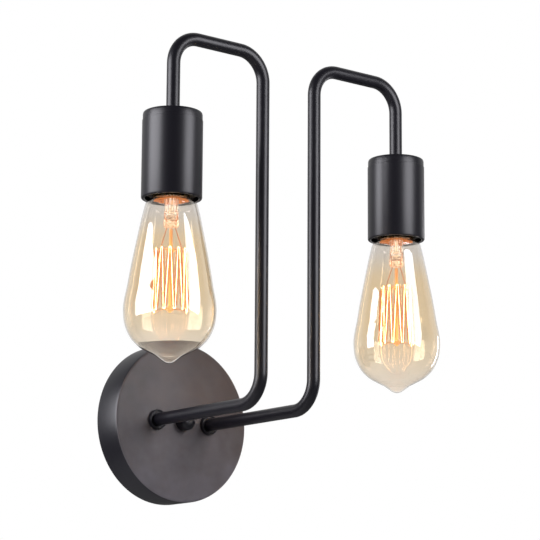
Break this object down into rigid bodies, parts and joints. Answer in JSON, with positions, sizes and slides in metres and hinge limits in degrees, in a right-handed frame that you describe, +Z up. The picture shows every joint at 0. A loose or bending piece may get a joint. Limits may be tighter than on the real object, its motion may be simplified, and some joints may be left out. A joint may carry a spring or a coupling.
{
  "type": "two-arm pipe wall light",
  "caption": "Wall light with a round canopy and mirrored bent-tube arms, each dropping to a cup socket with a pear-shaped filament lamp.",
  "frame": {"origin": "middle of the crossbar's back face, on the wall plane at the canopy's middle", "axes": "+Y into the wall, so the light stands out towards -Y; +X to the right along the wall for a person who faces it; +Z up"},
  "size_m": [0.272, 0.182, 0.3172],
  "materials": {
    "black_paint": "satin black powder coat",
    "zinc_steel": "bright zinc plate",
    "green_screw": "green dyed zinc",
    "black_phenolic": "moulded, matt",
    "nickel_shell": "nickel plate",
    "brass": "bright",
    "amber_glass": "gold tinted, glossy",
    "clear_glass": "glossy",
    "black_glass": "glossy",
    "solder": "tinned",
    "support_wire": "drawn wire",
    "filament": "glowing wire",
    "copper": "drawn wire"
  },
  "bodies": {
    "fixture": {"canopy": "black_paint", "crossbar": "zinc_steel", "nipple": "zinc_steel", "nipple_locknut": "zinc_steel", "cap_nut": "black_paint", "ground_screw": "green_screw", "arm_left": "black_paint", "collar_left": "black_paint", "arm_washer_left": "zinc_steel", "arm_locknut_left": "zinc_steel", "neck_ring_left": "black_paint", "cup_left": "black_paint", "cup_locknut_left": "zinc_steel", "lampholder_left": "black_phenolic", "screw_shell_left": "nickel_shell", "centre_contact_left": "brass", "live_terminal_left": "brass", "neutral_terminal_left": "nickel_shell", "arm_right": "black_paint", "collar_right": "black_paint", "arm_washer_right": "zinc_steel", "arm_locknut_right": "zinc_steel", "neck_ring_right": "black_paint", "cup_right": "black_paint", "cup_locknut_right": "zinc_steel", "lampholder_right": "black_phenolic", "screw_shell_right": "nickel_shell", "centre_contact_right": "brass", "live_terminal_right": "brass", "neutral_terminal_right": "nickel_shell"},
    "lamp_left_tip": {"lamp_button_left": "solder", "lamp_insulator_left": "black_glass"},
    "lamp_left": {"lamp_glass_left": "amber_glass", "lamp_base_left": "brass", "lamp_stem_left": "clear_glass", "upper_supports_left": "support_wire", "lower_supports_left": "support_wire", "filament_left": "filament", "lead_a_left": "copper", "lead_b_left": "copper"},
    "lamp_right_tip": {"lamp_button_right": "solder", "lamp_insulator_right": "black_glass"},
    "lamp_right": {"lamp_glass_right": "amber_glass", "lamp_base_right": "brass", "lamp_stem_right": "clear_glass", "upper_supports_right": "support_wire", "lower_supports_right": "support_wire", "filament_right": "filament", "lead_a_right": "copper", "lead_b_right": "copper"}
  },
  "joints": [
    {"name": "lamp_left_travel", "type": "slide", "parent": "fixture", "child": "lamp_left_tip", "axis": [0, 0, -1], "range_m": [0, 0.0182]},
    {"name": "lamp_left_turn", "type": "hinge", "parent": "lamp_left_tip", "child": "lamp_left", "pos_m": [-0.104, -0.15, 0.1335], "axis": [0, 0, -1], "range_deg": [0, 1800]},
    {"name": "lamp_right_travel", "type": "slide", "parent": "fixture", "child": "lamp_right_tip", "axis": [0, 0, -1], "range_m": [0, 0.0182]},
    {"name": "lamp_right_turn", "type": "hinge", "parent": "lamp_right_tip", "child": "lamp_right", "pos_m": [0.104, -0.15, 0.1335], "axis": [0, 0, -1], "range_deg": [0, 1800]}
  ],
  "couplings": [
    {"joint": "lamp_left_travel", "follows": "lamp_left_turn", "m_per_rad": 0.00057751},
    {"joint": "lamp_right_travel", "follows": "lamp_right_turn", "m_per_rad": 0.00057751}
  ]
}
